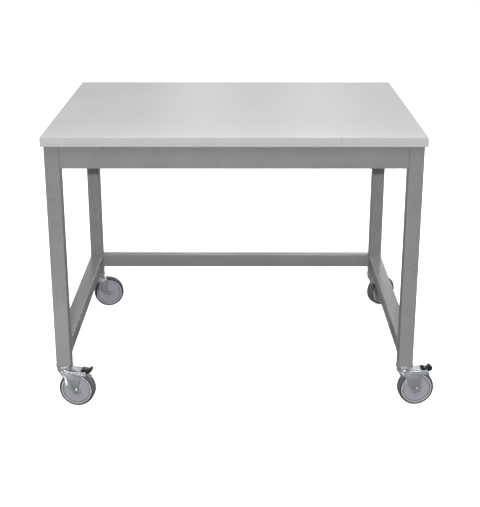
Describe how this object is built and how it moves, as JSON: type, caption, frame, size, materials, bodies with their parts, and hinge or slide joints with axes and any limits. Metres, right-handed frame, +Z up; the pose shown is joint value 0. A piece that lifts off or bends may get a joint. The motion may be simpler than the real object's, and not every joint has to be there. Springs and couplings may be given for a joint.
{
  "type": "mobile assembly table",
  "caption": "Rectangular laminated worktop on a welded square-tube frame, open at the front, rolling on swivel casters with rocker brakes at the front.",
  "frame": {"origin": "centre of the work surface, so the floor lies 0.770 m below it", "axes": "+X along the width to the right, +Y from the open front edge to the rear, +Z up out of the work surface"},
  "size_m": [1.0571, 0.8278, 0.77],
  "materials": {
    "laminate": "light grey melamine-faced chipboard, satin",
    "edging": "grey ABS edge band, satin",
    "frame_paint": "grey powder coat, fine texture",
    "zinc_plate": "bright zinc-plated pressed steel",
    "plain_steel": "plain rolled steel, oiled",
    "wheel_plastic": "cool light grey moulded polypropylene",
    "tyre_rubber": "grey non-marking rubber, dull",
    "pedal_plastic": "black moulded plastic, fine grain",
    "bush_plastic": "natural acetal"
  },
  "bodies": {
    "table_frame": {"worktop_board": "laminate", "edge_band_left": "edging", "edge_band_right": "edging", "edge_band_rear": "edging", "edge_band_front_long": "edging", "edge_band_front_short": "edging", "front_apron": "frame_paint", "rear_apron": "frame_paint", "left_apron": "frame_paint", "right_apron": "frame_paint", "left_stretcher": "frame_paint", "right_stretcher": "frame_paint", "rear_stretcher": "frame_paint", "front_left_leg": "frame_paint", "front_left_foot_plate": "plain_steel", "front_left_caster_stem": "zinc_plate", "front_left_swivel_head": "zinc_plate", "front_left_ball_ring": "plain_steel", "front_right_leg": "frame_paint", "front_right_foot_plate": "plain_steel", "front_right_caster_stem": "zinc_plate", "front_right_swivel_head": "zinc_plate", "front_right_ball_ring": "plain_steel", "rear_left_leg": "frame_paint", "rear_left_foot_plate": "plain_steel", "rear_left_caster_stem": "zinc_plate", "rear_left_swivel_head": "zinc_plate", "rear_left_ball_ring": "plain_steel", "rear_right_leg": "frame_paint", "rear_right_foot_plate": "plain_steel", "rear_right_caster_stem": "zinc_plate", "rear_right_swivel_head": "zinc_plate", "rear_right_ball_ring": "plain_steel"},
    "front_left_swivel": {"front_left_fork": "zinc_plate", "front_left_axle": "zinc_plate", "front_left_axle_bush": "bush_plastic", "front_left_pedal_pin": "zinc_plate"},
    "front_left_wheel": {"front_left_wheel_core": "wheel_plastic", "front_left_tyre": "tyre_rubber"},
    "front_left_pedal": {"front_left_brake_pedal": "pedal_plastic"},
    "front_left_shoe": {"front_left_brake_shoe": "plain_steel"},
    "front_right_swivel": {"front_right_fork": "zinc_plate", "front_right_axle": "zinc_plate", "front_right_axle_bush": "bush_plastic", "front_right_pedal_pin": "zinc_plate"},
    "front_right_wheel": {"front_right_wheel_core": "wheel_plastic", "front_right_tyre": "tyre_rubber"},
    "front_right_pedal": {"front_right_brake_pedal": "pedal_plastic"},
    "front_right_shoe": {"front_right_brake_shoe": "plain_steel"},
    "rear_left_swivel": {"rear_left_fork": "zinc_plate", "rear_left_axle": "zinc_plate", "rear_left_axle_bush": "bush_plastic"},
    "rear_left_wheel": {"rear_left_wheel_core": "wheel_plastic", "rear_left_tyre": "tyre_rubber"},
    "rear_right_swivel": {"rear_right_fork": "zinc_plate", "rear_right_axle": "zinc_plate", "rear_right_axle_bush": "bush_plastic"},
    "rear_right_wheel": {"rear_right_wheel_core": "wheel_plastic", "rear_right_tyre": "tyre_rubber"}
  },
  "joints": [
    {"name": "front_left_caster_swivel", "type": "hinge", "parent": "table_frame", "child": "front_left_swivel", "pos_m": [-0.473, -0.3705, -0.659], "axis": [0, 0, 1], "continuous": true},
    {"name": "front_left_wheel_roll", "type": "hinge", "parent": "front_left_swivel", "child": "front_left_wheel", "pos_m": [-0.43933, -0.37523, -0.72], "axis": [0.1392, 0.9903, 0], "continuous": true},
    {"name": "front_left_brake_pedal_rock", "type": "hinge", "parent": "front_left_swivel", "child": "front_left_pedal", "pos_m": [-0.41327, -0.37889, -0.66944], "axis": [0.1392, 0.9903, 0], "range_deg": [0, 15]},
    {"name": "front_left_brake_shoe_flex", "type": "hinge", "parent": "front_left_swivel", "child": "front_left_shoe", "pos_m": [-0.43212, -0.37624, -0.6673], "axis": [0.1392, 0.9903, 0], "range_deg": [0, 2.25]},
    {"name": "front_right_caster_swivel", "type": "hinge", "parent": "table_frame", "child": "front_right_swivel", "pos_m": [0.473, -0.3705, -0.659], "axis": [0, 0, 1], "continuous": true},
    {"name": "front_right_wheel_roll", "type": "hinge", "parent": "front_right_swivel", "child": "front_right_wheel", "pos_m": [0.50675, -0.36636, -0.72], "axis": [-0.1219, 0.9925, 0], "continuous": true},
    {"name": "front_right_brake_pedal_rock", "type": "hinge", "parent": "front_right_swivel", "child": "front_right_pedal", "pos_m": [0.53287, -0.36315, -0.66944], "axis": [-0.1219, 0.9925, 0], "range_deg": [0, 15]},
    {"name": "front_right_brake_shoe_flex", "type": "hinge", "parent": "front_right_swivel", "child": "front_right_shoe", "pos_m": [0.51397, -0.36547, -0.6673], "axis": [-0.1219, 0.9925, 0], "range_deg": [0, 2.25]},
    {"name": "rear_left_caster_swivel", "type": "hinge", "parent": "table_frame", "child": "rear_left_swivel", "pos_m": [-0.473, 0.3705, -0.659], "axis": [0, 0, 1], "continuous": true},
    {"name": "rear_left_wheel_roll", "type": "hinge", "parent": "rear_left_swivel", "child": "rear_left_wheel", "pos_m": [-0.43933, 0.37523, -0.72], "axis": [-0.1392, 0.9903, 0], "continuous": true},
    {"name": "rear_right_caster_swivel", "type": "hinge", "parent": "table_frame", "child": "rear_right_swivel", "pos_m": [0.473, 0.3705, -0.659], "axis": [0, 0, 1], "continuous": true},
    {"name": "rear_right_wheel_roll", "type": "hinge", "parent": "rear_right_swivel", "child": "rear_right_wheel", "pos_m": [0.50151, 0.38902, -0.72], "axis": [-0.5446, 0.8387, 0], "continuous": true}
  ],
  "couplings": [
    {"joint": "front_left_brake_shoe_flex", "follows": "front_left_brake_pedal_rock", "ratio": 0.15},
    {"joint": "front_right_brake_shoe_flex", "follows": "front_right_brake_pedal_rock", "ratio": 0.15}
  ]
}
